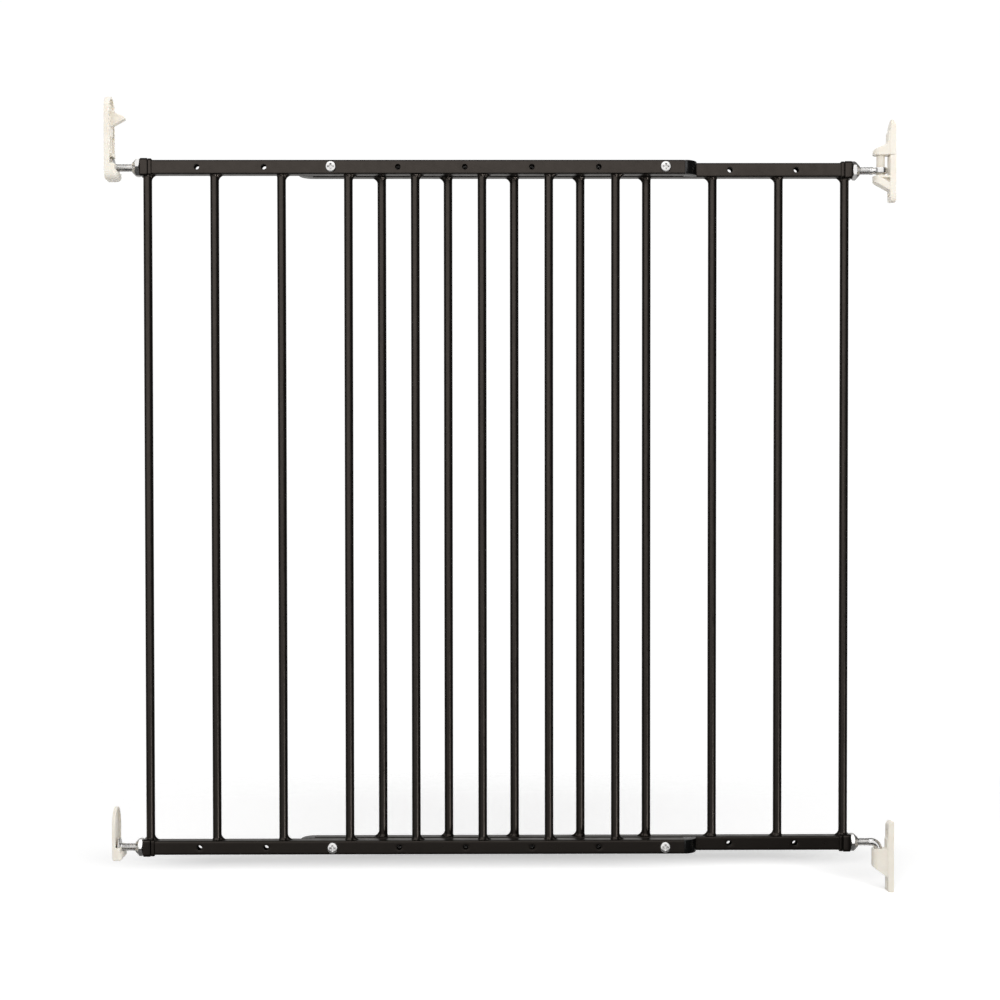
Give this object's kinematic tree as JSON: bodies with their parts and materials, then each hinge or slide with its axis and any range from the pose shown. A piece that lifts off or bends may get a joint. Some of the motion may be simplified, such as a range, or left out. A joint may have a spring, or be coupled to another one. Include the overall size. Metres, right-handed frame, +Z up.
{
  "type": "safety baby gate",
  "caption": "Metal safety gate for a doorway: two overlapping black bar panels, threaded bolts, cream plastic hinge and latch brackets; lifts out of the latch cups and swings both ways.",
  "frame": {"origin": "middle of the lower hinge bracket's back face, on the hinge wall", "axes": "+X towards the hinge wall, -Y the front, +Z up"},
  "size_m": [0.8184, 0.0512, 0.8282],
  "materials": {
    "frame_coat": "satin",
    "black_plastic": "gloss",
    "zinc": "gloss",
    "cream_plastic": "matte",
    "nylon": "matte"
  },
  "bodies": {
    "wall_fittings": {"upper_latch_bracket": "cream_plastic", "lower_latch_bracket": "cream_plastic", "upper_hinge_bracket": "cream_plastic", "lower_hinge_bracket": "cream_plastic"},
    "lift_bush": {"eye_bush": "nylon"},
    "gate": {"latch_top_rail": "frame_coat", "latch_top_end_block": "frame_coat", "latch_top_guide_plug": "black_plastic", "latch_bottom_rail": "frame_coat", "latch_bottom_end_block": "frame_coat", "latch_bottom_guide_plug": "black_plastic", "latch_bar_1": "frame_coat", "latch_bar_2": "frame_coat", "latch_bar_3": "frame_coat", "latch_bar_4": "frame_coat", "latch_bar_5": "frame_coat", "latch_bar_6": "frame_coat", "latch_bar_7": "frame_coat", "latch_bar_8": "frame_coat", "hinge_top_rail": "frame_coat", "hinge_top_end_block": "frame_coat", "hinge_top_guide_plug": "black_plastic", "hinge_bottom_rail": "frame_coat", "hinge_bottom_end_block": "frame_coat", "hinge_bottom_guide_plug": "black_plastic", "hinge_bar_1": "frame_coat", "hinge_bar_2": "frame_coat", "hinge_bar_3": "frame_coat", "hinge_bar_4": "frame_coat", "hinge_bar_5": "frame_coat", "hinge_bar_6": "frame_coat", "hinge_bar_7": "frame_coat", "hinge_bar_8": "frame_coat", "panel_screw_top_left": "zinc", "cap_nut_top_left": "zinc", "panel_screw_top_right": "zinc", "cap_nut_top_right": "zinc", "panel_screw_bottom_left": "zinc", "cap_nut_bottom_left": "zinc", "panel_screw_bottom_right": "zinc", "cap_nut_bottom_right": "zinc", "upper_latch_bolt": "zinc", "lower_latch_bolt": "zinc", "hinge_eyebolt": "zinc", "hinge_bent_bolt": "zinc", "upper_latch_lock_nut": "zinc", "lower_latch_lock_nut": "zinc", "upper_hinge_lock_nut": "zinc", "lower_hinge_lock_nut": "zinc"},
    "latch_catch": {"latch_catch": "cream_plastic"},
    "hinge_cap": {"hinge_cap": "cream_plastic"}
  },
  "joints": [
    {"name": "gate_lift", "type": "slide", "parent": "wall_fittings", "child": "lift_bush", "axis": [0, 0, 1], "range_m": [0, 0.011]},
    {"name": "gate_swing", "type": "hinge", "parent": "lift_bush", "child": "gate", "pos_m": [-0.015, 0, 0.7182], "axis": [0, 0, 1], "range_deg": [-89, 86]},
    {"name": "latch_catch_slide", "type": "slide", "parent": "wall_fittings", "child": "latch_catch", "axis": [0, 0, 1], "range_m": [0, 0.011]},
    {"name": "hinge_cap_slide", "type": "slide", "parent": "wall_fittings", "child": "hinge_cap", "axis": [0, 0, 1], "range_m": [0, 0.026]}
  ],
  "couplings": [
    {"joint": "latch_catch_slide", "follows": "gate_lift", "ratio": 1}
  ]
}
